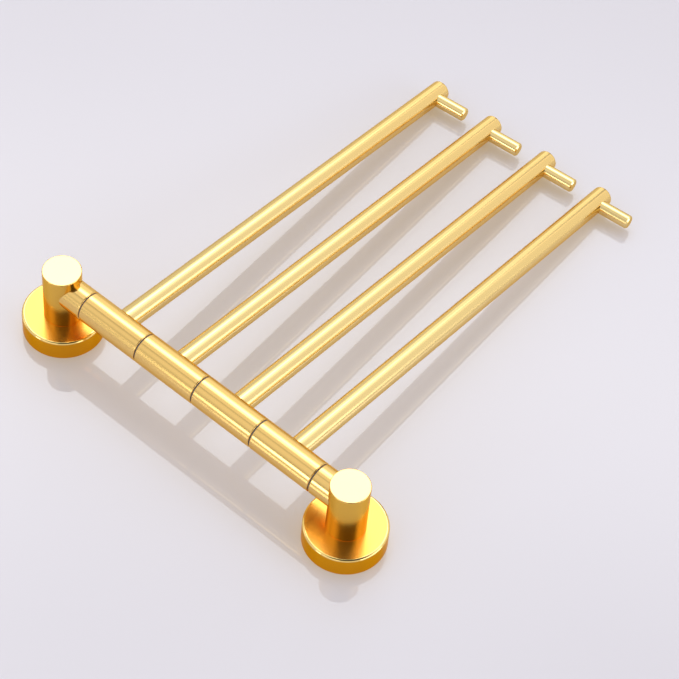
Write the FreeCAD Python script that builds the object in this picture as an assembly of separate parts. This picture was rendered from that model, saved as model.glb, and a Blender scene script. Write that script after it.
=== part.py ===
import FreeCAD, Part
import math
import os

# Swing arm towel bar: two wall flanges carry two posts, a rod runs from post to post,
# and four arms turn freely on it, each with a peg near its tip.
# Millimetres. Z = 0 is the wall, +Z points away from it, +Y is up in use,
# and the arms lie along -X with their tips just touching the wall.
# The origin is the centre of the rectangle of four wall screw holes.

V = FreeCAD.Vector
X_AXIS = V(1, 0, 0)
Y_AXIS = V(0, 1, 0)
Z_AXIS = V(0, 0, 1)

# ---- Column: the row of sleeves between the posts ----
arm_count = 4
sleeve_pitch = 50.0
end_span = 25.0           # from a post's centre to the middle of its first seam
pivot_height = 42.0       # from the wall to the pivot axis
column_d = 22.0
column_edge_round = 0.7   # round on the edges beside each seam
rod_d = 10.0
rod_past_post = 7.0       # how far the rod runs past a post's centre
rod_end_chamfer = 0.6
rod_flat_depth = 0.5      # flat that the post screw's end bears on
rod_flat_length = 10.0
washer_t = 0.8
washer_d = 20.4
bush_d = 14.0
bush_length = 14.0

# ---- Posts and flanges ----
post_d = 26.5
post_top = 58.5           # from the wall to the post's top face
post_top_round = 0.6
post_foot_chamfer = 0.4
post_spigot_d = 18.0
post_spigot_length = 2.0
flange_d = 56.0
flange_h = 15.5
flange_edge_round = 1.6
flange_wall = 5.3
flange_roof = 5.0

# ---- Wall plates and their screws ----
plate_t = 8.0
plate_edge_chamfer = 0.5
plate_groove_depth = 1.0  # groove in the rim for the set screw's point
plate_groove_width = 3.6
wall_screw_spacing = 30.0
wall_screw_hole_d = 4.5
wall_screw_sink_d = 8.6   # mouth of the 90 degree countersink
post_screw_d = 8.0
post_screw_head_d = 13.0
post_screw_head_h = 7.0
post_screw_key = 6.0      # hexagon socket, across the flats
post_screw_key_depth = 4.0
post_screw_head_room = 1.5
set_screw_d = 5.0
set_screw_length = 4.6    # threaded body, without the point
set_screw_point_d = 3.0
set_screw_key = 2.5
set_screw_key_depth = 2.4
set_screw_sunk = 0.5      # below the flange's side

# ---- Arms ----
arm_d = 15.0
arm_wall = 1.5
arm_reach = 346.0         # from the pivot axis to the arm's end
arm_end_round = 1.4
stud_nose_d = 8.0
stud_body_length = 18.0
plug_length = 24.0
plug_inset = 0.3
plug_chamfer = 0.4
peg_d = 10.0
peg_reach = 29.5          # from the arm's centre line to the peg's end
peg_from_end = 11.2       # from the arm's end to the peg's centre line
peg_lean = 5.0            # degrees, towards the arm's end
peg_chamfer = 0.9
peg_tenon_d = 6.0
peg_tenon_depth = 5.0     # into the end plug

# ---- Clearances ----
running_gap = 0.05        # radial, bush on rod
end_float = 0.08          # axial, between a sleeve and a washer
washer_bore_gap = 0.1     # radial, washer and collar on rod
seat_gap = 0.05           # radial, between fixed pieces that fit together
cope_gap = 0.05           # between a coped end and the round it meets
plate_gap = 0.2           # radial, plate inside the flange's pocket

# ---- Sizes worked out from the ones above ----
post_spacing = arm_count * sleeve_pitch + 2 * end_span
post_r = post_d / 2
column_r = column_d / 2
rod_r = rod_d / 2
bush_r = bush_d / 2
arm_r = arm_d / 2
peg_r = peg_d / 2
flange_r = flange_d / 2
pocket_r = flange_r - flange_wall
pocket_depth = flange_h - flange_roof
plate_r = pocket_r - plate_gap
rod_end_y = post_spacing / 2 + rod_past_post
rod_flat_z = pivot_height - rod_r + rod_flat_depth
sleeve_length = sleeve_pitch - washer_t - 2 * end_float
sleeve_bore_r = bush_r + seat_gap
arm_bore_r = arm_r - arm_wall
plug_r = arm_bore_r - seat_gap
peg_station = arm_reach - peg_from_end


def droop_angle():
    """Degrees below level at which the rounded end of an arm just touches the wall plane."""
    along = arm_reach - arm_end_round
    across = arm_r - arm_end_round
    drop = pivot_height - arm_end_round
    return math.degrees(math.asin(drop / math.hypot(along, across)) - math.atan2(across, along))


def profile(corners):
    """Face in the radius and height half plane. Each corner is (radius, height, round)."""
    points = [V(radius, 0, height) for radius, height, _ in corners]
    starts = []
    middles = []
    ends = []
    for i, (_, _, rounding) in enumerate(corners):
        here = points[i]
        if rounding == 0:
            starts.append(here)
            middles.append(None)
            ends.append(here)
            continue
        back = (points[i - 1] - here).normalize()
        ahead = (points[(i + 1) % len(points)] - here).normalize()
        half = back.getAngle(ahead) / 2
        centre = here + (back + ahead).normalize() * (rounding / math.sin(half))
        reach = rounding / math.tan(half)
        starts.append(here + back * reach)
        middles.append(centre + (here - centre).normalize() * rounding)
        ends.append(here + ahead * reach)
    edges = []
    for i in range(len(points)):
        if middles[i] is not None:
            edges.append(Part.Arc(starts[i], middles[i], ends[i]).toShape())
        edges.append(Part.makeLine(ends[i], starts[(i + 1) % len(points)]))
    return Part.Face(Part.Wire(edges))


def turned(corners, base, axis):
    """Solid turned from a profile, with its height along axis from base."""
    solid = profile(corners).revolve(V(0, 0, 0), Z_AXIS, 360)
    solid.Placement = FreeCAD.Placement(base, FreeCAD.Rotation(Z_AXIS, axis))
    return solid


def rod_between(radius, base, axis, start, end):
    """Plain cylinder along axis, from start to end as measured from base."""
    return Part.makeCylinder(radius, end - start, base + axis * start, axis)


def hexagon(across_flats, depth, base, axis):
    """Hexagonal prism along axis, for a key socket."""
    corner_r = across_flats / math.sqrt(3)
    points = []
    for i in range(7):
        angle = math.radians(60 * i)
        points.append(V(corner_r * math.cos(angle), corner_r * math.sin(angle), 0))
    prism = Part.Face(Part.makePolygon(points)).extrude(V(0, 0, depth))
    prism.Placement = FreeCAD.Placement(base, FreeCAD.Rotation(Z_AXIS, axis))
    return prism


def wall_plate(y):
    """Disc that is screwed to the wall and hidden in the flange's pocket."""
    bore_r = post_screw_head_d / 2 + post_screw_head_room
    groove_low = (plate_t - plate_groove_width) / 2
    groove_r = plate_r - plate_groove_depth
    corners = [
        (bore_r, 0, 0),
        (plate_r, 0, 0),
        (plate_r, groove_low, 0),
        (groove_r, groove_low, 0),
        (groove_r, plate_t - groove_low, 0),
        (plate_r, plate_t - groove_low, 0),
        (plate_r, plate_t - plate_edge_chamfer, 0),
        (plate_r - plate_edge_chamfer, plate_t, 0),
        (bore_r, plate_t, 0),
    ]
    plate = turned(corners, V(0, y, 0), Z_AXIS)
    hole_r = wall_screw_hole_d / 2
    sink_r = wall_screw_sink_d / 2
    sink_depth = sink_r - hole_r
    for side in (-1, 1):
        foot = V(side * wall_screw_spacing / 2, y, 0)
        hole = Part.makeCylinder(hole_r, plate_t, foot)
        sink = Part.makeCone(hole_r, sink_r, sink_depth, foot + V(0, 0, plate_t - sink_depth))
        plate = plate.cut(hole.fuse(sink))
    return plate


def flange(y):
    """Round cover with a pocket for the wall plate, and the seat that the post stands in."""
    screw_r = post_screw_d / 2 + seat_gap
    seat_r = post_spigot_d / 2 + seat_gap
    seat_z = flange_h - post_spigot_length - seat_gap
    corners = [
        (pocket_r, 0, 0),
        (flange_r, 0, 0),
        (flange_r, flange_h, flange_edge_round),
        (seat_r, flange_h, 0),
        (seat_r, seat_z, 0),
        (screw_r, seat_z, 0),
        (screw_r, pocket_depth, 0),
        (pocket_r, pocket_depth, 0),
    ]
    cover = turned(corners, V(0, y, 0), Z_AXIS)
    tapped_r = set_screw_d / 2 + seat_gap
    tapped = rod_between(tapped_r, V(0, y, plate_t / 2), -Y_AXIS, plate_r, flange_r + 1)
    return cover.cut(tapped)


def post(y):
    """Round post with a spigot, a long tapped hole up its middle and a blind bore for the rod."""
    inward = -Y_AXIS if y > 0 else Y_AXIS
    spigot_r = post_spigot_d / 2
    corners = [
        (0, flange_h - post_spigot_length, 0),
        (spigot_r, flange_h - post_spigot_length, 0),
        (spigot_r, flange_h, 0),
        (post_r - post_foot_chamfer, flange_h, 0),
        (post_r, flange_h + post_foot_chamfer, 0),
        (post_r, post_top, post_top_round),
        (0, post_top, 0),
    ]
    body = turned(corners, V(0, y, 0), Z_AXIS)
    tapped = Part.makeCylinder(post_screw_d / 2 + seat_gap, pivot_height, V(0, y, 0))
    bore_r = rod_r + seat_gap
    bore_back = -rod_past_post - seat_gap
    bore = rod_between(bore_r, V(0, y, pivot_height), inward, bore_back, post_r + 1)
    return body.cut(tapped).cut(bore)


def post_screw(y):
    """Socket screw from the flange's pocket up through the post to the rod's flat."""
    head_r = post_screw_head_d / 2
    shank_r = post_screw_d / 2
    low = pocket_depth - post_screw_head_h
    corners = [
        (0, low, 0),
        (head_r, low, 0),
        (head_r, pocket_depth, 0),
        (shank_r, pocket_depth, 0),
        (shank_r, rod_flat_z - plate_edge_chamfer, 0),
        (shank_r - plate_edge_chamfer, rod_flat_z, 0),
        (0, rod_flat_z, 0),
    ]
    screw = turned(corners, V(0, y, 0), Z_AXIS)
    return screw.cut(hexagon(post_screw_key, post_screw_key_depth, V(0, y, low), Z_AXIS))


def set_screw(y):
    """Grub screw in the flange's lower side, with its point in the plate's groove."""
    outer = flange_r - set_screw_sunk
    inner = outer - set_screw_length
    tip = plate_r - plate_groove_depth + seat_gap
    centre = V(0, y, plate_t / 2)
    body = rod_between(set_screw_d / 2, centre, -Y_AXIS, inner, outer)
    point = rod_between(set_screw_point_d / 2, centre, -Y_AXIS, tip, inner)
    socket_base = centre - Y_AXIS * outer
    socket = hexagon(set_screw_key, set_screw_key_depth, socket_base, Y_AXIS)
    return body.fuse(point).cut(socket).removeSplitter()


def pivot_rod():
    """Rod from post to post, with a flat under each end for the post screw."""
    corners = [
        (0, 0, 0),
        (rod_r - rod_end_chamfer, 0, 0),
        (rod_r, rod_end_chamfer, 0),
        (rod_r, 2 * rod_end_y - rod_end_chamfer, 0),
        (rod_r - rod_end_chamfer, 2 * rod_end_y, 0),
        (0, 2 * rod_end_y, 0),
    ]
    rod = turned(corners, V(0, -rod_end_y, pivot_height), Y_AXIS)
    for side in (-1, 1):
        corner = V(-rod_r, side * post_spacing / 2 - rod_flat_length / 2, rod_flat_z - rod_r)
        rod = rod.cut(Part.makeBox(rod_d, rod_flat_length, rod_r, corner))
    return rod


def end_collar(y):
    """Fixed stub between a post and its first seam, coped to the post."""
    inward = -Y_AXIS if y > 0 else Y_AXIS
    length = end_span - washer_t / 2
    bore_r = rod_r + washer_bore_gap
    corners = [
        (bore_r, 0, 0),
        (column_r, 0, 0),
        (column_r, length, column_edge_round),
        (bore_r, length, 0),
    ]
    collar = turned(corners, V(0, y, pivot_height), inward)
    return collar.cut(Part.makeCylinder(post_r + cope_gap, pivot_height * 2, V(0, y, 0)))


def spacer_washer(y):
    """Plain washer that keeps two turning sleeves apart."""
    middle = V(0, y, pivot_height)
    disc = rod_between(washer_d / 2, middle, Y_AXIS, -washer_t / 2, washer_t / 2)
    hole = rod_between(rod_r + washer_bore_gap, middle, Y_AXIS, -washer_t, washer_t)
    return disc.cut(hole)


def swing_sleeve(y):
    """Turning sleeve with a tapped hole for the arm's stud."""
    corners = [
        (sleeve_bore_r, 0, 0),
        (column_r, 0, column_edge_round),
        (column_r, sleeve_length, column_edge_round),
        (sleeve_bore_r, sleeve_length, 0),
    ]
    start = V(0, y - sleeve_length / 2, pivot_height)
    sleeve = turned(corners, start, Y_AXIS)
    tapped_r = stud_nose_d / 2 + seat_gap
    middle = V(0, y, pivot_height)
    return sleeve.cut(rod_between(tapped_r, middle, -X_AXIS, rod_r, column_r + 1))


def sleeve_bushes(y):
    """Two nylon bushes, one in each end of a sleeve."""
    bushes = []
    for side in (-1, 1):
        outward = Y_AXIS * side
        middle = V(0, y, pivot_height)
        face = sleeve_length / 2
        shell = rod_between(bush_r, middle, outward, face - bush_length, face)
        bore = rod_between(rod_r + running_gap, middle, outward, 0, face + 1)
        bushes.append(shell.cut(bore))
    return Part.makeCompound(bushes)


def arm_stud(y):
    """Stud that is screwed into the sleeve and fills the root of the arm tube."""
    shoulder = column_r + cope_gap
    nose_length = shoulder - bush_r
    body_end = nose_length + stud_body_length
    body_r = arm_bore_r - seat_gap
    corners = [
        (0, 0, 0),
        (stud_nose_d / 2, 0, 0),
        (stud_nose_d / 2, nose_length, 0),
        (body_r, nose_length, 0),
        (body_r, body_end - plug_chamfer, 0),
        (body_r - plug_chamfer, body_end, 0),
        (0, body_end, 0),
    ]
    return turned(corners, V(-bush_r, y, pivot_height), -X_AXIS)


def peg_direction():
    """Level direction of a peg, along the column with its lean towards the arm's end."""
    lean = math.radians(peg_lean)
    return V(-math.sin(lean), math.cos(lean), 0)


def arm_tube(y):
    """Arm tube, coped to the sleeve at its root and rounded at its open end."""
    corners = [
        (arm_bore_r, 0, 0),
        (arm_r, 0, 0),
        (arm_r, arm_reach, arm_end_round),
        (arm_bore_r, arm_reach, 0),
    ]
    middle = V(0, y, pivot_height)
    tube = turned(corners, middle, -X_AXIS)
    sleeve_round = rod_between(column_r + cope_gap, middle, Y_AXIS, -arm_d, arm_d)
    peg_foot = middle - X_AXIS * peg_station
    peg_hole = rod_between(peg_tenon_d / 2 + seat_gap, peg_foot, peg_direction(), 0, arm_d)
    return tube.cut(sleeve_round).cut(peg_hole)


def end_plug(y):
    """Plug that closes the arm's end and holds the peg's tenon."""
    corners = [
        (0, 0, 0),
        (plug_r, 0, 0),
        (plug_r, plug_length - plug_chamfer, 0),
        (plug_r - plug_chamfer, plug_length, 0),
        (0, plug_length, 0),
    ]
    inner_end = arm_reach - plug_inset - plug_length
    plug = turned(corners, V(-inner_end, y, pivot_height), -X_AXIS)
    peg_foot = V(-peg_station, y, pivot_height)
    hole_r = peg_tenon_d / 2 + seat_gap
    hole_floor = plug_r - peg_tenon_depth
    return plug.cut(rod_between(hole_r, peg_foot, peg_direction(), hole_floor, arm_d))


def peg(y):
    """Round peg, coped to the arm tube, with a tenon into the end plug."""
    foot = V(-peg_station, y, pivot_height)
    corners = [
        (0, 0, 0),
        (peg_r, 0, 0),
        (peg_r, peg_reach - peg_chamfer, 0),
        (peg_r - peg_chamfer, peg_reach, 0),
        (0, peg_reach, 0),
    ]
    pin = turned(corners, foot, peg_direction())
    tube_round = rod_between(arm_r + cope_gap, foot, X_AXIS, -arm_d, arm_d)
    tenon_floor = plug_r - peg_tenon_depth + seat_gap
    tenon = rod_between(peg_tenon_d / 2, foot, peg_direction(), tenon_floor, arm_d)
    return pin.cut(tube_round).fuse(tenon).removeSplitter()


def lowered(shape, droop):
    """Turns a piece of an arm about the pivot axis, from level down to where it rests."""
    turned_down = shape.copy()
    turned_down.rotate(V(0, 0, pivot_height), Y_AXIS, -droop)
    return turned_down


def fixed_pieces():
    """Everything that stays on the wall."""
    places = {"lower": -post_spacing / 2, "upper": post_spacing / 2}
    pieces = {}
    for name, y in places.items():
        pieces["wall_plate_" + name] = wall_plate(y)
        pieces["flange_" + name] = flange(y)
        pieces["post_" + name] = post(y)
        pieces["end_collar_" + name] = end_collar(y)
    pieces["post_screws"] = Part.makeCompound([post_screw(y) for y in places.values()])
    pieces["flange_set_screws"] = Part.makeCompound([set_screw(y) for y in places.values()])
    pieces["pivot_rod"] = pivot_rod()
    first_seam = -arm_count * sleeve_pitch / 2
    washers = [spacer_washer(first_seam + i * sleeve_pitch) for i in range(arm_count + 1)]
    pieces["spacer_washers"] = Part.makeCompound(washers)
    return pieces


def arm_pieces(number, droop):
    """Everything that swings with one arm."""
    y = (number - (arm_count + 1) / 2) * sleeve_pitch
    makers = {
        "swing_sleeve": swing_sleeve,
        "sleeve_bushes": sleeve_bushes,
        "arm_stud": arm_stud,
        "arm_tube": arm_tube,
        "end_plug": end_plug,
        "peg": peg,
    }
    return {f"{name}_{number}": lowered(make(y), droop) for name, make in makers.items()}


def main():
    """Builds every piece and writes one STEP file for each node."""
    droop = droop_angle()
    pieces = fixed_pieces()
    for number in range(1, arm_count + 1):
        pieces.update(arm_pieces(number, droop))
    os.makedirs("parts", exist_ok=True)
    for name, shape in pieces.items():
        shape.exportStep(f"parts/{name}.step")
    print(f"{len(pieces)} nodes, arms hang {droop:.4f} degrees below level")


main()
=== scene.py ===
import math
from typing import NamedTuple

import bpy
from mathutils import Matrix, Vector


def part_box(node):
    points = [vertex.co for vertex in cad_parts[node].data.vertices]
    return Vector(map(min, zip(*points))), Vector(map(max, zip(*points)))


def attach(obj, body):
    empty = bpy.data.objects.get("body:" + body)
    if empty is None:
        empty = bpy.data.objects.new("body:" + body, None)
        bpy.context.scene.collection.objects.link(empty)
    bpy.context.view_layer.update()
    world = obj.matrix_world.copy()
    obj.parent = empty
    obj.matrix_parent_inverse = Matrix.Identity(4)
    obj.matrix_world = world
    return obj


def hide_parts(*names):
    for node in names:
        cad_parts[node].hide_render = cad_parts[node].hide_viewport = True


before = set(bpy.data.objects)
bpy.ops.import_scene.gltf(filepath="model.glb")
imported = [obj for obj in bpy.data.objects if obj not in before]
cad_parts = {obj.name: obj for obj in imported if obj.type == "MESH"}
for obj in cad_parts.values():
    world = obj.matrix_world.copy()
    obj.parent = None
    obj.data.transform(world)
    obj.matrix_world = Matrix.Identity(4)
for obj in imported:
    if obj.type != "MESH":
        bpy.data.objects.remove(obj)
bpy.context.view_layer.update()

bl_info = {
    "name": "Swing Arm Towel Bar",
    "version": (1, 0, 0),
    "blender": (4, 5, 0),
    "location": "View3D > Sidebar > Towel Bar",
    "description": "Finishes, fasteners and studio for a wall towel bar with four swinging arms",
    "category": "Object",
}

MM = 0.001
ARMS = (1, 2, 3, 4)
PLACES = ("lower", "upper")


# ---------------------------------------------------------------- node networks

class Number:
    """A number socket of a network, so that arithmetic on it adds Math nodes."""

    def __init__(self, network, socket):
        self.network = network
        self.socket = socket

    def math(self, operation, *others):
        return self.network.math(operation, self, *others)

    def __add__(self, other):
        return self.math("ADD", other)

    def __sub__(self, other):
        return self.math("SUBTRACT", other)

    def __rsub__(self, other):
        return self.network.math("SUBTRACT", other, self)

    def __mul__(self, other):
        return self.math("MULTIPLY", other)

    def __truediv__(self, other):
        return self.math("DIVIDE", other)

    def __abs__(self):
        return self.math("ABSOLUTE")

    __radd__ = __add__
    __rmul__ = __mul__


class Network:
    """A node tree, and the one way that nodes are added to it."""

    def __init__(self, tree):
        self.tree = tree

    def node(self, kind, settings=None, inputs=(), output=0):
        """Adds a node. Settings are set first, then its sockets by place or by name."""
        made = self.tree.nodes.new(kind)
        for key, value in (settings or {}).items():
            setattr(made, key, value)
        pairs = inputs.items() if isinstance(inputs, dict) else enumerate(inputs)
        for key, value in pairs:
            self.feed(made.inputs[key], value)
        return Number(self, made.outputs[output])

    def feed(self, socket, value):
        """Links a socket of the network to a socket, or sets a plain value on it."""
        if isinstance(value, Number):
            self.tree.links.new(value.socket, socket)
        elif value is not None:
            socket.default_value = value

    def math(self, operation, *values):
        return self.node("ShaderNodeMath", {"operation": operation}, values)

    def clamp(self, value):
        """The value, kept between 0 and 1."""
        return self.node("ShaderNodeClamp", None, (value, 0.0, 1.0))

    def vector(self, x=0.0, y=0.0, z=0.0):
        return self.node("ShaderNodeCombineXYZ", None, (x, y, z))

    def split(self, vector):
        made = self.node("ShaderNodeSeparateXYZ", None, (vector,)).socket.node
        return [Number(self, socket) for socket in made.outputs]

    def fade(self, value, start, end):
        """1 up to start, and smoothly down to 0 at end."""
        sockets = {"Value": value, "From Min": start, "From Max": end, "To Min": 1.0, "To Max": 0.0}
        return self.node("ShaderNodeMapRange", {"interpolation_type": "SMOOTHSTEP"}, sockets)


class Finish(Network):
    """One node material, with its Principled shader."""

    def __init__(self, name, **uniform):
        self.material = bpy.data.materials.new(name)
        self.material.use_nodes = True
        super().__init__(self.material.node_tree)
        self.shader = self.tree.nodes["Principled BSDF"]
        for socket, value in uniform.items():
            self.shader.inputs[socket.replace("_", " ")].default_value = value

    def set(self, socket, value):
        self.feed(self.shader.inputs[socket], value)

    def place(self):
        """Where a point is on the object."""
        return self.node("ShaderNodeTexCoord", output="Object")

    def noise(self, vector, scale, detail):
        sockets = {"Vector": vector, "Scale": scale, "Detail": detail}
        return self.node("ShaderNodeTexNoise", None, sockets, "Fac")

    def blend(self, amount, color_a, color_b):
        """One colour over into the other."""
        made = self.node("ShaderNodeMix", {"data_type": "RGBA"}).socket.node
        self.feed(made.inputs[0], amount)
        for socket, color in ((6, color_a), (7, color_b)):
            self.feed(made.inputs[socket], color if isinstance(color, Number) else (*color, 1.0))
        return Number(self, made.outputs[2])

    def relief(self, height, strength, depth):
        sockets = {"Height": height, "Strength": strength, "Distance": depth}
        self.set("Normal", self.node("ShaderNodeBump", None, sockets))


class Shape(Network):
    """A Geometry Nodes tree with named inputs."""

    def __init__(self, name):
        super().__init__(bpy.data.node_groups.new(name, "GeometryNodeTree"))
        self.tree.interface.new_socket("Geometry", in_out="OUTPUT", socket_type="NodeSocketGeometry")
        self.entry = self.tree.nodes.new("NodeGroupInput")
        self.values = {}

    def input(self, name, value, kind="NodeSocketFloat"):
        """Adds a named input, and keeps the value that the modifier is given for it."""
        socket = self.tree.interface.new_socket(name, in_out="INPUT", socket_type=kind)
        self.values[socket.identifier] = value
        return Number(self, self.entry.outputs[name])

    def finish(self, geometry, material):
        """Ends the tree, and returns the plain mesh that it makes."""
        real = self.node("GeometryNodeRealizeInstances", None, (geometry,))
        finish = self.input("Material", material, "NodeSocketMaterial")
        sockets = {"Geometry": real, "Material": finish}
        dressed = self.node("GeometryNodeSetMaterial", None, sockets)
        ending = self.tree.nodes.new("NodeGroupOutput")
        self.feed(ending.inputs[0], dressed)
        maker = bpy.data.objects.new(self.tree.name, bpy.data.meshes.new(self.tree.name))
        bpy.context.scene.collection.objects.link(maker)
        modifier = maker.modifiers.new(self.tree.name, "NODES")
        modifier.node_group = self.tree
        for identifier, value in self.values.items():
            modifier[identifier] = value
        graph = bpy.context.evaluated_depsgraph_get()
        mesh = bpy.data.meshes.new_from_object(maker.evaluated_get(graph))
        bpy.data.objects.remove(maker)
        return mesh


# ---------------------------------------------------------------- settings

class SoftPanel(NamedTuple):
    """A soft light in the studio, seen from the object. Angles are in degrees."""
    azimuth: float
    elevation: float
    half_width: float
    half_height: float
    light: float
    edge: float


# The last three are fills, placed for the back and the sides. The others are rounded
# values of a fit to the reflections on the gold.
PANELS = {
    "key behind": SoftPanel(212, 58, 30, 13, 1.75, 20),
    "key strip": SoftPanel(220, 50, 25, 6, 2.2, 10),
    "low fill behind": SoftPanel(210, 25, 13, 18, 1.1, 8),
    "window right": SoftPanel(100, 10, 25, 15, 3.2, 8),
    "fill behind right": SoftPanel(145, 25, 40, 28, 0.9, 10),
    "strip above right": SoftPanel(145, 57, 45, 6, 1.2, 8),
    "fill left": SoftPanel(260, 20, 40, 24, 0.75, 5),
    "strip front left": SoftPanel(343, 12, 6, 10, 4.5, 4),
    "fill front": SoftPanel(10, 18, 20, 22, 1.05, 8),
    "high fill left": SoftPanel(325, 55, 25, 30, 0.85, 40),
    "ceiling": SoftPanel(250, 70, 45, 16, 0.85, 15),
    "high fill behind": SoftPanel(260, 50, 30, 10, 0.5, 10),
    "low fill front right": SoftPanel(55, 15, 25, 18, 0.7, 10),
    "low fill left": SoftPanel(310, 15, 25, 12, 0.6, 10),
}


def color_setting(name, description, color):
    return bpy.props.FloatVectorProperty(
        name=name, description=description, default=color, size=3, subtype="COLOR")


def length_setting(name, description, length):
    return bpy.props.FloatProperty(name=name, description=description, default=length, unit="LENGTH")


def number_setting(name, description, number, subtype="NONE"):
    return bpy.props.FloatProperty(name=name, description=description, default=number, subtype=subtype)


class StudioSettings(bpy.types.PropertyGroup):
    camera_place: bpy.props.FloatVectorProperty(
        name="Camera place", description="Where the camera stands", size=3,
        default=(0.6788, 0.5937, 1.2634), unit="LENGTH", subtype="XYZ",
    )
    camera_turn: bpy.props.FloatVectorProperty(
        name="Camera turn", description="How the camera is turned, about X, Y and Z", size=3,
        default=[math.radians(angle) for angle in (37.747, -3.711, 130.548)], subtype="EULER",
    )
    camera_lens: number_setting("Lens", "Focal length on a 36 mm sensor, in millimetres", 124.74)
    table_size: length_setting("Table size", "Length of the table's sides", 60.0)
    table_drop: length_setting("Table drop", "How far the table lies below the object", 0.1 * MM)
    table_color: color_setting("Table colour", "Colour of the pale table", (0.36, 0.44, 0.63))
    table_glow: color_setting(
        "Table glow", "Pale light of the table itself, as the camera and metal see it",
        (0.36, 0.26, 0.15))
    table_index: number_setting("Table index", "Refractive index of the table's glaze", 1.5)
    table_roughness: number_setting(
        "Table roughness", "How much the table blurs its reflections", 0.03, "FACTOR")
    horizon_light: number_setting("Horizon", "Level of the plain band round the horizon", 0.8)
    dim_light: number_setting("Room", "Level of the room low down, between the panels", 0.0)
    high_light: number_setting("Ceiling", "Level of the room straight up", 0.12)
    horizon_end: number_setting(
        "Horizon end", "Elevation where the plain band ends", math.radians(8.5), "ANGLE")
    horizon_edge: number_setting(
        "Horizon edge", "How softly the plain band ends", math.radians(6), "ANGLE")


class GoldSettings(bpy.types.PropertyGroup):
    arm_color: color_setting(
        "Arm gold", "Pale gold of the arms, their plugs and the pegs", (0.925, 0.695, 0.30))
    # Painted shade: a deeper gold towards the arms' tips.
    tip_shade_color: color_setting(
        "Arm tip", "Warmer gold towards the tips of the arms", (0.925, 0.645, 0.245))
    column_color: color_setting("Column gold", "Warmer gold of the column", (0.97, 0.64, 0.215))
    # Painted highlight: the posts' paler tops. The deeper post gold below is the posts' gold with
    # painted shade round their sides.
    top_highlight_color: color_setting("Post top", "Pale gold of the posts' tops", (0.90, 0.56, 0.225))
    post_gold_and_shade: color_setting("Post gold", "Deeper gold round the posts", (0.945, 0.575, 0.11))
    flange_color: color_setting(
        "Flange gold", "Deeper colour of the flanges' faces", (0.945, 0.508, 0.105))
    # Painted shade: the deepest colour, round the flanges' sides.
    side_shade_color: color_setting(
        "Flange side", "Deepest colour, round the flanges' sides", (0.86, 0.40, 0.02))
    # Painted highlight: paler gold on the flanges' rounded rims, which are also polished smoother.
    rim_color: color_setting(
        "Flange rim", "Pale gold of the flanges' rounded rims", (0.97, 0.69, 0.25))
    edge_tint: color_setting(
        "Edge tint", "Tint of the metal where it is seen at a flat angle", (0.96, 0.76, 0.42))
    roughness: number_setting("Roughness", "How satin the column and the pegs are", 0.14, "FACTOR")
    arm_roughness: number_setting("Arm roughness", "How satin the arms are", 0.17, "FACTOR")
    post_roughness: number_setting("Post roughness", "How satin the posts are", 0.19, "FACTOR")
    flange_roughness: number_setting(
        "Flange roughness", "How satin the flanges are", 0.26, "FACTOR")
    rim_roughness: number_setting(
        "Rim roughness", "How satin the flanges' rims are", 0.06, "FACTOR")
    grain_pitch: length_setting("Grain", "Spacing of the finest polishing lines", 0.35 * MM)
    grain_depth: length_setting("Grain depth", "Depth of the polishing lines", 0.0002 * MM)


class SteelSettings(bpy.types.PropertyGroup):
    color: color_setting("Steel", "Colour of the plated steel", (0.60, 0.60, 0.61))
    roughness: number_setting("Roughness", "How dull the steel is", 0.32, "FACTOR")
    mottle_depth: length_setting("Mottle depth", "Depth of the plating's fine mottle", 0.01 * MM)


class NylonSettings(bpy.types.PropertyGroup):
    color: color_setting("Nylon", "Colour of the washers and bushes", (0.16, 0.15, 0.13))
    roughness: number_setting("Roughness", "How matt the nylon is", 0.5, "FACTOR")
    grain_depth: length_setting("Grain depth", "Depth of the moulded grain", 0.01 * MM)


class ScrewSettings(bpy.types.PropertyGroup):
    post_spacing: length_setting("Post spacing", "Distance between the two posts", 250 * MM)
    around: bpy.props.IntProperty(
        name="Faces around", description="Faces round each screw, a multiple of 12", default=48,
    )
    steps_per_pitch: bpy.props.IntProperty(
        name="Steps", description="Faces along one turn of a thread", default=6,
    )


class PostScrewSettings(bpy.types.PropertyGroup):
    head_diameter: length_setting("Head diameter", "Across the knurled head", 13 * MM)
    head_height: length_setting("Head height", "Height of the knurled head", 7 * MM)
    knurl_depth: length_setting("Knurl depth", "Depth of the grooves round the head", 0.25 * MM)
    key: length_setting("Key", "Hexagon socket, across its flats", 6 * MM)
    key_depth: length_setting("Key depth", "Depth of the hexagon socket", 4 * MM)
    thread_diameter: length_setting("Thread diameter", "Across the thread's crests", 8 * MM)
    thread_depth: length_setting("Thread depth", "From the crests to the roots", 0.65 * MM)
    pitch: length_setting("Pitch", "From one turn of the thread to the next", 1.25 * MM)
    chamfer: length_setting("Chamfer", "Of the head's edges and the end", 0.5 * MM)


class SetScrewSettings(bpy.types.PropertyGroup):
    key: length_setting("Key", "Hexagon socket, across its flats", 2.5 * MM)
    key_depth: length_setting("Key depth", "Depth of the hexagon socket", 2.4 * MM)
    thread_diameter: length_setting("Thread diameter", "Across the thread's crests", 5 * MM)
    thread_length: length_setting("Thread length", "From the socket's end to the point", 4.6 * MM)
    thread_depth: length_setting("Thread depth", "From the crests to the roots", 0.4 * MM)
    pitch: length_setting("Pitch", "From one turn of the thread to the next", 0.8 * MM)
    point_diameter: length_setting("Point diameter", "Across the plain point", 3 * MM)
    chamfer: length_setting("Chamfer", "Of the thread's ends and the point", 0.4 * MM)


# ---------------------------------------------------------------- pieces

SHARP_ANGLE = math.radians(35)          # edges of the new pieces that turn by more stay sharp


def dress(names, material):
    """Gives a material to carried-over nodes."""
    for name in names:
        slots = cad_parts[name].data.materials
        slots.clear()
        slots.append(material)


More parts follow.
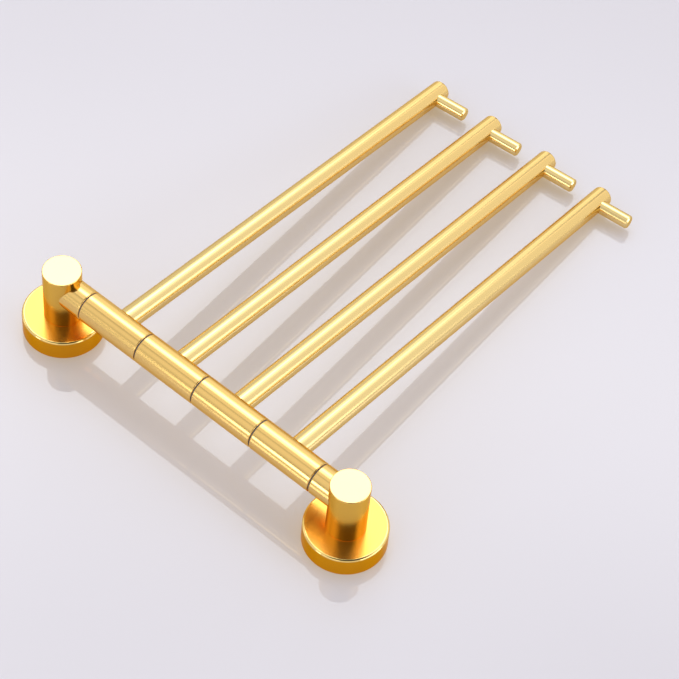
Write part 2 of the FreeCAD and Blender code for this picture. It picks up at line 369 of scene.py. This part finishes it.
def add_piece(name, mesh, body, replaced):
    """Puts a finished mesh into the scene in place of a node."""
    piece = bpy.data.objects.new(name, mesh)
    bpy.context.scene.collection.objects.link(piece)
    mesh.shade_smooth()
    mesh.set_sharp_from_angle(angle=SHARP_ANGLE)
    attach(piece, body)
    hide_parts(replaced)


# ---------------------------------------------------------------- gold

LINE_STRETCH = 0.01             # how little the polishing lines change along a drawn tube
TURN_STRETCH = 0.0002           # and round a turned piece, in metres a radian
BAND_SCALE = 0.12               # scale of the broad bands, against that of the fine lines
GOLD_CLOUDS = 28.0              # faint clouds in the gold, a metre
DEEPEST_GOLD = 0.93             # how dark the clouds and bands are, against the plain colour
CLOUD_SHARE = 0.6               # of the clouds in the colour, and the rest is the bands'
SMOOTHEST = 0.86                # least roughness, against the gold's own
GRAIN_ROUGHNESS = 0.12          # what the fine lines add to it
CLOUD_ROUGHNESS = 0.16          # and the clouds
GRAIN_RELIEF = 0.6              # height of the fine lines, against the bands
GOLD_RELIEF = 0.5               # strength of both

TIP_FADE = 0.3                  # share of an arm's reach where its painted tip shade has faded out
POST_EDGE = (0.4 * MM, 0.1 * MM)        # below a post's top, from its side to its painted highlight
RIM_START = (1.5 * MM, 1.1 * MM)        # below a flange's face, from its side's painted shade to its rim
FACE_EDGE = (2.0 * MM, 1.5 * MM)        # in from a flange's side, from its face to its rim's painted highlight


def drawn_lines(finish, axis, turn=0.0):
    """Pattern space of a drawn tube: lines run along the axis, turned about Y."""
    sockets = {"Vector": finish.place(), "Rotation": (0.0, turn, 0.0)}
    place = finish.node("ShaderNodeMapping", None, sockets)
    stretch = [1.0, 1.0, 1.0]
    stretch["XYZ".index(axis)] = LINE_STRETCH
    return finish.node("ShaderNodeVectorMath", {"operation": "MULTIPLY"}, (place, stretch))


def column_height():
    """Height of the column's axis."""
    low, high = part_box("pivot_rod")
    return (low[2] + high[2]) / 2


def column_lines(finish):
    """Pattern space of a piece turned about the column's axis: lines run round it."""
    x, y, z = finish.split(finish.place())
    height = z - column_height()
    radius = finish.math("SQRT", x * x + height * height)
    return finish.vector(radius, y, finish.math("ARCTAN2", height, x) * TURN_STRETCH)


def post_lines(finish):
    """Pattern space of a piece turned about a post's axis: lines run round it."""
    x, y, z = finish.split(finish.place())
    beside = abs(y) - bpy.context.scene.towelbar_screws.post_spacing / 2
    radius = finish.math("SQRT", x * x + beside * beside)
    return finish.vector(radius, z, finish.math("ARCTAN2", beside, x) * TURN_STRETCH)


def gold_finish(name, color, roughness, lines, zones=()):
    """Satin anodised gold, with fine polishing lines in the given pattern space.

    Each zone is (share, color, roughness), and the zones paint highlights and shade into the gold's
    colour.
    share(finish, space) makes a number over the surface that is 1 where the zone's colour and
    roughness go, and 0 elsewhere."""
    gold = bpy.context.scene.towelbar_gold
    finish = Finish(name, Metallic=1.0, Specular_Tint=(*gold.edge_tint, 1.0))
    space = lines(finish)
    grain = finish.noise(space, 1.0 / gold.grain_pitch, detail=3.0)
    bands = finish.noise(space, BAND_SCALE / gold.grain_pitch, detail=1.0)
    cloud = finish.noise(finish.place(), GOLD_CLOUDS, detail=2.0)
    deeper = [channel * DEEPEST_GOLD for channel in color]
    shade = finish.blend(cloud * CLOUD_SHARE + bands * (1.0 - CLOUD_SHARE), color, deeper)
    # The zones paint highlights and shade into the colour.
    for share, zone_color, zone_roughness in zones:
        here = share(finish, space)
        shade = finish.blend(here, shade, zone_color)
        roughness = roughness + here * (zone_roughness - roughness)
    finish.set("Base Color", shade)
    uneven = SMOOTHEST + grain * GRAIN_ROUGHNESS + cloud * CLOUD_ROUGHNESS
    finish.set("Roughness", uneven * roughness)
    finish.relief(grain * GRAIN_RELIEF + bands, GOLD_RELIEF, gold.grain_depth)
    return finish.material


def arm_droop():
    """How far an arm leans down to its tip, as an angle."""
    low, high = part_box("arm_tube_1")
    reach, diameter, rise = (high[axis] - low[axis] for axis in range(3))
    return math.atan2(rise - diameter, reach)


def arm_tip_shade(finish, space):
    """The outer part of an arm, more and more towards its tip, where a deeper gold paints shade."""
    x, _, _ = finish.split(finish.place())
    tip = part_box("arm_tube_1")[0][0]
    return finish.fade(x, tip, tip * TIP_FADE)


def post_top_highlight(finish, space):
    """The flat top of a post, with its rounded edge, where a paler gold paints a highlight."""
    _, height, _ = finish.split(space)
    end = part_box("post_lower")[1][2]
    return 1.0 - finish.fade(height, end - POST_EDGE[0], end - POST_EDGE[1])


def flange_side_shade(finish, space):
    """The straight side of a flange, below its rounded rim, where the deepest colour paints shade."""
    _, height, _ = finish.split(space)
    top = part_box("flange_lower")[1][2]
    return finish.fade(height, top - RIM_START[0], top - RIM_START[1])


def flange_rim_highlight(finish, space):
    """The rounded rim of a flange, and a fine line on the face inside it, where a paler gold paints a
    highlight.
    """
    radius, _, _ = finish.split(space)
    low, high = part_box("flange_lower")
    outer = (high[0] - low[0]) / 2
    face = finish.fade(radius, outer - FACE_EDGE[0], outer - FACE_EDGE[1])
    return (1.0 - face) * (1.0 - flange_side_shade(finish, space))


class TOWELBAR_OT_tubes(bpy.types.Operator):
    """Finish the arm tubes, their end plugs and the pegs"""
    bl_idname = "towelbar.tubes"
    bl_label = "Arms and pegs"

    def execute(self, context):
        gold = context.scene.towelbar_gold
        # Painted shade: a deeper gold towards the arms' tips.
        tip = (arm_tip_shade, gold.tip_shade_color, gold.arm_roughness)
        along_arm = gold_finish(
            "gold_drawn", gold.arm_color, gold.arm_roughness,
            lambda finish: drawn_lines(finish, "X", arm_droop()), (tip,))
        dress([f"arm_tube_{arm}" for arm in ARMS] + [f"end_plug_{arm}" for arm in ARMS], along_arm)
        along_peg = gold_finish(
            "gold_peg", gold.arm_color, gold.roughness, lambda finish: drawn_lines(finish, "Y"))
        dress([f"peg_{arm}" for arm in ARMS], along_peg)
        return {"FINISHED"}


class TOWELBAR_OT_column(bpy.types.Operator):
    """Finish the swing sleeves and the end collars"""
    bl_idname = "towelbar.column"
    bl_label = "Column"

    def execute(self, context):
        gold = context.scene.towelbar_gold
        turned = gold_finish("gold_column", gold.column_color, gold.roughness, column_lines)
        dress([f"swing_sleeve_{arm}" for arm in ARMS], turned)
        dress([f"end_collar_{place}" for place in PLACES], turned)
        return {"FINISHED"}


class TOWELBAR_OT_posts(bpy.types.Operator):
    """Finish the posts and the flanges"""
    bl_idname = "towelbar.posts"
    bl_label = "Posts and flanges"

    def execute(self, context):
        gold = context.scene.towelbar_gold
        # Painted highlight on the posts' paler tops, against painted shade in the deeper gold round
        # their sides.
        top = (post_top_highlight, gold.top_highlight_color, gold.post_roughness)
        plain = gold_finish("gold_post", gold.post_gold_and_shade, gold.post_roughness, post_lines, (top,))
        dress([f"post_{place}" for place in PLACES], plain)
        # Painted shade: the deepest colour round the flanges' sides.
        side = (flange_side_shade, gold.side_shade_color, gold.flange_roughness)
        # Painted highlight in paler gold on the flanges' rims, which are also polished smoother.
        rim = (flange_rim_highlight, gold.rim_color, gold.rim_roughness)
        deep = gold_finish(
            "gold_flange", gold.flange_color, gold.flange_roughness, post_lines, (side, rim))
        dress([f"flange_{place}" for place in PLACES], deep)
        return {"FINISHED"}


# ---------------------------------------------------------------- steel and nylon

STEEL_MOTTLE = 900.0            # patches of the plating's mottle, a metre
STEEL_CLOUDS = 120.0            # and of its broader clouds
STEEL_CLOUD_SHARE = 0.7         # of the clouds in the colour, and the rest is the mottle's
STEEL_WARMTH = (0.9, 0.88, 0.82)        # the warmer colour, against the plain one
STEEL_SMOOTHEST = 0.75          # least roughness, against the steel's own
STEEL_UNEVEN = 0.5              # what the mottle adds to it
STEEL_RELIEF = 0.3              # strength of the mottle's relief

NYLON_GRAIN = 2600.0            # grains a metre
NYLON_CLOUDS = 220.0            # and broader clouds
NYLON_PALEST = 1.25             # the clouds' colour, against the plain one
NYLON_SMOOTHEST = 0.85          # least roughness, against the nylon's own
NYLON_UNEVEN = 0.3              # what the grain adds to it
NYLON_RELIEF = 0.4              # strength of the grain's relief


def steel_finish():
    """Zinc-plated steel: a dull shine with a faint mottle."""
    if "plain_steel_plated" in bpy.data.materials:
        return bpy.data.materials["plain_steel_plated"]
    steel = bpy.context.scene.towelbar_steel
    finish = Finish("plain_steel_plated", Metallic=1.0)
    mottle = finish.noise(finish.place(), STEEL_MOTTLE, detail=4.0)
    cloud = finish.noise(finish.place(), STEEL_CLOUDS, detail=2.0)
    patches = cloud * STEEL_CLOUD_SHARE + mottle * (1.0 - STEEL_CLOUD_SHARE)
    warmer = [channel * warmth for channel, warmth in zip(steel.color, STEEL_WARMTH)]
    finish.set("Base Color", finish.blend(patches, steel.color, warmer))
    finish.set("Roughness", steel.roughness * (STEEL_SMOOTHEST + mottle * STEEL_UNEVEN))
    finish.relief(mottle, STEEL_RELIEF, steel.mottle_depth)
    return finish.material


def nylon_finish():
    """Moulded nylon: matt, with a fine grain."""
    nylon = bpy.context.scene.towelbar_nylon
    finish = Finish("nylon_moulded")
    grain = finish.noise(finish.place(), NYLON_GRAIN, detail=3.0)
    cloud = finish.noise(finish.place(), NYLON_CLOUDS, detail=2.0)
    paler = [channel * NYLON_PALEST for channel in nylon.color]
    finish.set("Base Color", finish.blend(cloud, nylon.color, paler))
    finish.set("Roughness", nylon.roughness * (NYLON_SMOOTHEST + grain * NYLON_UNEVEN))
    finish.relief(grain, NYLON_RELIEF, nylon.grain_depth)
    return finish.material


class TOWELBAR_OT_hidden(bpy.types.Operator):
    """Finish the wall plates, the pivot rod and the arm studs"""
    bl_idname = "towelbar.hidden"
    bl_label = "Hidden steel"

    def execute(self, context):
        dress([f"wall_plate_{place}" for place in PLACES], steel_finish())
        dress(["pivot_rod"] + [f"arm_stud_{arm}" for arm in ARMS], steel_finish())
        return {"FINISHED"}


class TOWELBAR_OT_nylon(bpy.types.Operator):
    """Finish the spacer washers and the sleeve bushes"""
    bl_idname = "towelbar.nylon"
    bl_label = "Washers and bushes"

    def execute(self, context):
        dress(["spacer_washers"] + [f"sleeve_bushes_{arm}" for arm in ARMS], nylon_finish())
        return {"FINISHED"}


# ---------------------------------------------------------------- screws

WELD = 0.001 * MM               # points of a screw's skin that are nearer than this are one
HALF_SIDE = math.pi / 6         # half of the angle that one side of a hexagon takes up


class Corner(NamedTuple):
    """A corner of a screw's outline, and its row in the skin. rows lead to the next corner."""
    row: int
    radius: Number
    height: Number
    rows: int


class Screw:
    """A turned and threaded screw that points up from its lower end, in a Shape."""

    def __init__(self, name, around):
        self.shape = Shape(name)
        self.around = around
        self.corners = []

    def corner(self, radius, height, rows=1):
        """Adds a corner of the outline, that many rows before the next, and returns its row."""
        row = self.corners[-1].row + self.corners[-1].rows if self.corners else 0
        self.corners.append(Corner(row, radius, height, rows))
        return row

    def socket(self, key, depth):
        """Starts the outline with a hexagon socket, and returns its wall's two rows."""
        self.corner(0.0, depth)
        return self.corner(key / 2, depth), self.corner(key / 2, 0.0)

    def thread(self, radius, start, end, rows):
        """Adds the thread to the outline, and returns its first and last row.

        Settings are in single precision, so rows is rounded off before it is made whole."""
        first = self.corner(radius, start, max(2, round(round(rows, 3))))
        last = self.corner(radius, end)
        return first + 1, last - 1

    def outline(self, measure, row):
        """Radius or height of the outline at a row."""
        value = getattr(self.corners[0], measure)
        for here, following in zip(self.corners, self.corners[1:]):
            share = self.shape.clamp((row - here.row) / here.rows)
            value = value + share * (getattr(following, measure) - getattr(here, measure))
        return value

    def between(self, row, first, last):
        """1 on the rows from first to last, and 0 on the others."""
        over = self.shape.math("GREATER_THAN", row, first - 0.5)
        return over * self.shape.math("LESS_THAN", row, last + 0.5)

    def skin(self, key_rows, key, thread_rows, pitch, depth, knurl_rows=(), knurl=None):
        """The whole skin of one screw, closed at both poles."""
        shape = self.shape
        rows = self.corners[-1].row + 1
        sockets = {"Size X": 1.0, "Size Y": 1.0, "Vertices X": rows, "Vertices Y": self.around + 1}
        grid = shape.node("GeometryNodeMeshGrid", None, sockets)
        u, v, _ = shape.split(shape.node("GeometryNodeInputPosition"))
        row = shape.math("ROUND", (u + 0.5) * (rows - 1.0))
        column = shape.math("ROUND", (v + 0.5) * float(self.around))
        angle = column * (math.tau / self.around)
        radius = self.outline("radius", row)
        height = self.outline("height", row)
        side = shape.math("WRAP", angle, HALF_SIDE, -HALF_SIDE)
        hexagon = key / 2 / shape.math("COSINE", side)
        radius = radius + self.between(row, *key_rows) * (hexagon - radius)
        if knurl_rows:
            groove = shape.math("MODULO", column, 2.0)
            radius = radius - self.between(row, *knurl_rows) * groove * knurl
        turn = shape.math("FRACT", height / pitch - column / float(self.around))
        valley = 1.0 - abs(turn * 2.0 - 1.0)
        radius = radius - self.between(row, *thread_rows) * valley * depth
        x = radius * shape.math("COSINE", angle)
        y = radius * shape.math("SINE", angle)
        sockets = {"Geometry": grid, "Position": shape.vector(x, y, height)}
        rolled = shape.node("GeometryNodeSetPosition", None, sockets)
        sockets = {"Geometry": rolled, "Distance": WELD}
        closed = shape.node("GeometryNodeMergeByDistance", None, sockets)
        return shape.node("GeometryNodeFlipFaces", None, (closed,))

    def pair(self, skin, start, spacing, turn, material):
        """Two like screws, a post spacing apart."""
        shape = self.shape
        sockets = {
            "Count": 2,
            "Start Location": shape.input("Start", start, "NodeSocketVector"),
            "Offset": shape.vector(y=shape.input("Spacing", spacing)),
        }
        points = shape.node("GeometryNodeMeshLine", None, sockets)
        sockets = {
            "Points": points,
            "Instance": skin,
            "Rotation": shape.input("Turn", turn, "NodeSocketVector"),
        }
        placed = shape.node("GeometryNodeInstanceOnPoints", None, sockets)
        return shape.finish(placed, material)


class TOWELBAR_OT_post_screws(bpy.types.Operator):
    """Make the knurled socket screws inside the posts"""
    bl_idname = "towelbar.post_screws"
    bl_label = "Post screws"

    def execute(self, context):
        screws = context.scene.towelbar_screws
        sizes = context.scene.towelbar_post_screws
        low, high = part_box("post_screws")
        length = high[2] - low[2]
        turns = (length - sizes.head_height - 2 * sizes.chamfer) / sizes.pitch
        screw = Screw("post_screw_pair", screws.around)
        shape = screw.shape
        key = shape.input("Key", sizes.key)
        key_depth = shape.input("Key depth", sizes.key_depth)
        head_r = shape.input("Head diameter", sizes.head_diameter) / 2
        head = shape.input("Head height", sizes.head_height)
        knurl = shape.input("Knurl depth", sizes.knurl_depth)
        shank_r = shape.input("Thread diameter", sizes.thread_diameter) / 2
        pitch = shape.input("Pitch", sizes.pitch)
        depth = shape.input("Thread depth", sizes.thread_depth)
        edge = shape.input("Chamfer", sizes.chamfer)
        whole = shape.input("Length", length)
        key_rows = screw.socket(key, key_depth)
        screw.corner(head_r - edge, 0.0)
        knurl_rows = screw.corner(head_r, edge), screw.corner(head_r, head - edge)
        screw.corner(head_r - edge, head)
        screw.corner(shank_r, head)
        thread_rows = screw.thread(
            shank_r, head + edge, whole - edge, turns * screws.steps_per_pitch)
        screw.corner(shank_r - edge, whole)
        screw.corner(0.0, whole)
        skin = screw.skin(key_rows, key, thread_rows, pitch, depth, knurl_rows, knurl)
        start = (0.0, -screws.post_spacing / 2, low[2])
        mesh = screw.pair(skin, start, screws.post_spacing, (0.0, 0.0, 0.0), steel_finish())
        add_piece("post_screw_pair", mesh, "column", "post_screws")
        return {"FINISHED"}


class TOWELBAR_OT_set_screws(bpy.types.Operator):
    """Make the grub screws in the flanges' lower sides"""
    bl_idname = "towelbar.set_screws"
    bl_label = "Flange set screws"

    def execute(self, context):
        screws = context.scene.towelbar_screws
        sizes = context.scene.towelbar_set_screws
        low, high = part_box("flange_set_screws")
        length = high[1] - low[1] - screws.post_spacing
        turns = (sizes.thread_length - 2 * sizes.chamfer) / sizes.pitch
        screw = Screw("flange_grub_screws", screws.around)
        shape = screw.shape
        key = shape.input("Key", sizes.key)
        key_depth = shape.input("Key depth", sizes.key_depth)
        thread_r = shape.input("Thread diameter", sizes.thread_diameter) / 2
        pitch = shape.input("Pitch", sizes.pitch)
        depth = shape.input("Thread depth", sizes.thread_depth)
        body = shape.input("Thread length", sizes.thread_length)
        point_r = shape.input("Point diameter", sizes.point_diameter) / 2
        edge = shape.input("Chamfer", sizes.chamfer)
        whole = shape.input("Length", length)
        key_rows = screw.socket(key, key_depth)
        screw.corner(thread_r - edge, 0.0)
        thread_rows = screw.thread(thread_r, edge, body - edge, turns * screws.steps_per_pitch)
        screw.corner(thread_r - edge, body)
        screw.corner(point_r, body)
        screw.corner(point_r, whole - edge)
        screw.corner(point_r - edge, whole)
        screw.corner(0.0, whole)
        skin = screw.skin(key_rows, key, thread_rows, pitch, depth)
        start = (0.0, low[1], (low[2] + high[2]) / 2)
        inwards = (-math.pi / 2, 0.0, 0.0)
        mesh = screw.pair(skin, start, screws.post_spacing, inwards, steel_finish())
        add_piece("flange_grub_screws", mesh, "column", "flange_set_screws")
        return {"FINISHED"}


# ---------------------------------------------------------------- studio

def studio_world(studio):
    """Soft light panels in a dim room, above a plain pale band round the horizon."""
    world = bpy.data.worlds.new("studio")
    world.use_nodes = True
    sky = Network(world.node_tree)
    direction = sky.node("ShaderNodeTexCoord", output="Generated")
    x, y, z = sky.split(direction)
    azimuth = sky.math("ARCTAN2", y, x)
    elevation = sky.math("ARCSINE", z)
    light = studio.dim_light + elevation * ((studio.high_light - studio.dim_light) / (math.pi / 2))
    for panel in PANELS.values():
        middle, half_width, height, half_height, half_edge = map(math.radians, (
            panel.azimuth, panel.half_width, panel.elevation, panel.half_height, panel.edge / 2))
        aside = abs(sky.math("WRAP", azimuth - middle, math.pi, -math.pi))
        above = abs(elevation - height)
        across = sky.fade(aside, half_width - half_edge, half_width + half_edge)
        upright = sky.fade(above, half_height - half_edge, half_height + half_edge)
        light = light + across * upright * panel.light
    half_edge = studio.horizon_edge / 2
    band = sky.fade(elevation, studio.horizon_end - half_edge, studio.horizon_end + half_edge)
    light = light + band * (studio.horizon_light - light)
    background = sky.tree.nodes["Background"]
    background.inputs["Color"].default_value = (1.0, 1.0, 1.0, 1.0)
    sky.feed(background.inputs["Strength"], light)
    return world


class TOWELBAR_OT_studio(bpy.types.Operator):
    """Make the table, the lights and the camera"""
    bl_idname = "towelbar.studio"
    bl_label = "Studio"

    def execute(self, context):
        studio = context.scene.towelbar_studio
        camera = bpy.data.objects.new("camera", bpy.data.cameras.new("camera"))
        context.scene.collection.objects.link(camera)
        camera.location = studio.camera_place
        camera.rotation_euler = studio.camera_turn
        camera.data.lens = studio.camera_lens
        context.scene.camera = camera
        bpy.ops.mesh.primitive_plane_add(size=studio.table_size)
        table = context.active_object
        table.name = "table"
        top = Finish(
            "pale_table", Roughness=studio.table_roughness, IOR=studio.table_index,
            Emission_Strength=1.0)
        top.set("Base Color", (*studio.table_color, 1.0))
        rays = [
            top.node("ShaderNodeLightPath", output=kind)
            for kind in ("Is Camera Ray", "Is Glossy Ray", "Is Transmission Ray")
        ]
        facing = 1.0 - top.node("ShaderNodeFresnel", None, (studio.table_index,))
        seen = top.clamp(sum(rays)) * facing
        top.set("Emission Color", top.blend(seen, (0.0, 0.0, 0.0), studio.table_glow))
        table.data.materials.append(top.material)
        table.location.z = -studio.table_drop
        context.scene.world = studio_world(studio)
        context.scene.view_settings.view_transform = "Standard"
        return {"FINISHED"}


class TOWELBAR_PT_panel(bpy.types.Panel):
    """Lists the towel bar's steps"""
    bl_idname = "TOWELBAR_PT_panel"
    bl_label = "Towel Bar"
    bl_space_type = "VIEW_3D"
    bl_region_type = "UI"
    bl_category = "Towel Bar"

    def draw(self, context):
        for operator in OPERATORS:
            self.layout.operator(operator.bl_idname)


SETTINGS = {
    "towelbar_studio": StudioSettings,
    "towelbar_gold": GoldSettings,
    "towelbar_steel": SteelSettings,
    "towelbar_nylon": NylonSettings,
    "towelbar_screws": ScrewSettings,
    "towelbar_post_screws": PostScrewSettings,
    "towelbar_set_screws": SetScrewSettings,
}
OPERATORS = (
    TOWELBAR_OT_studio,
    TOWELBAR_OT_tubes,
    TOWELBAR_OT_column,
    TOWELBAR_OT_posts,
    TOWELBAR_OT_hidden,
    TOWELBAR_OT_nylon,
    TOWELBAR_OT_post_screws,
    TOWELBAR_OT_set_screws,
)


def register():
    for group in (*SETTINGS.values(), *OPERATORS, TOWELBAR_PT_panel):
        bpy.utils.register_class(group)
    for name, group in SETTINGS.items():
        setattr(bpy.types.Scene, name, bpy.props.PointerProperty(type=group))


def unregister():
    for name in SETTINGS:
        delattr(bpy.types.Scene, name)
    for group in reversed((*SETTINGS.values(), *OPERATORS, TOWELBAR_PT_panel)):
        bpy.utils.unregister_class(group)


def main():
    register()
    bpy.ops.towelbar.studio()
    bpy.ops.towelbar.tubes()
    bpy.ops.towelbar.column()
    bpy.ops.towelbar.posts()
    bpy.ops.towelbar.hidden()
    bpy.ops.towelbar.nylon()
    bpy.ops.towelbar.post_screws()
    bpy.ops.towelbar.set_screws()


if __name__ == "__main__":
    main()
